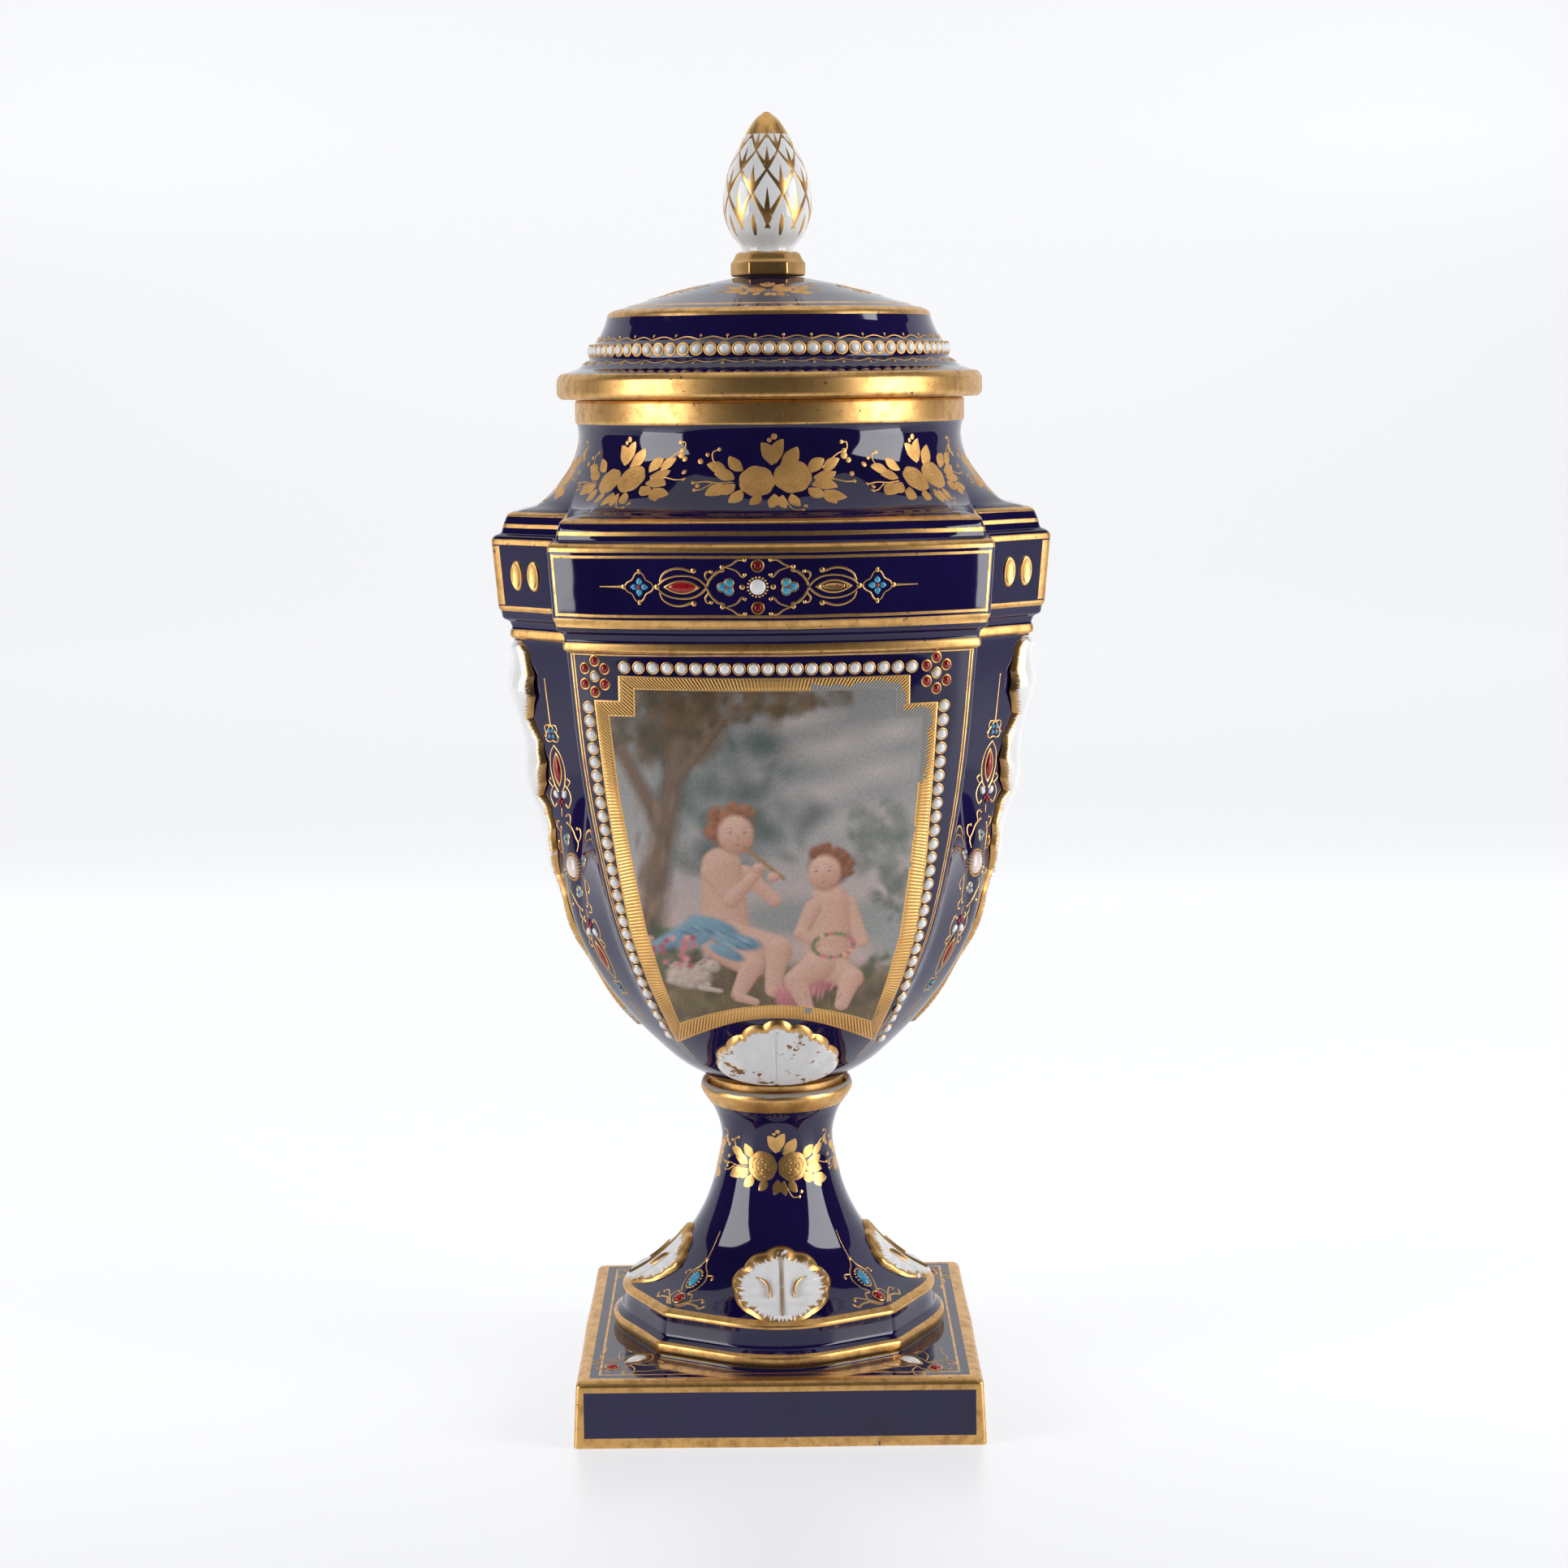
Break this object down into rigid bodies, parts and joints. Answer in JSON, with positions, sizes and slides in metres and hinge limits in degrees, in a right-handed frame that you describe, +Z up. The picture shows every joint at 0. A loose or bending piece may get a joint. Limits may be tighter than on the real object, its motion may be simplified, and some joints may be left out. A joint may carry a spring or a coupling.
{
  "type": "mantel urn",
  "caption": "Covered display urn: bowed body with belt and side leaves, neck, beaded domed lid with bud finial, waisted stem and square plinth; the lid lifts off.",
  "frame": {"origin": "centre of the plinth's underside", "axes": "+Z up through the finial, -Y towards the painted front"},
  "size_m": [0.172, 0.16, 0.4],
  "materials": {
    "pedestal_glaze": "cobalt glaze with gilt lines, glossy",
    "body_glaze": "cobalt glaze with gilt and enamel, glossy",
    "lid_glaze": "cobalt glaze with gilt bands and white drops, glossy",
    "finial_enamel": "white glaze with gilt lattice, glossy"
  },
  "bodies": {
    "root": {"pedestal": "pedestal_glaze", "body": "body_glaze", "lid": "lid_glaze", "finial": "finial_enamel"}
  },
  "joints": []
}
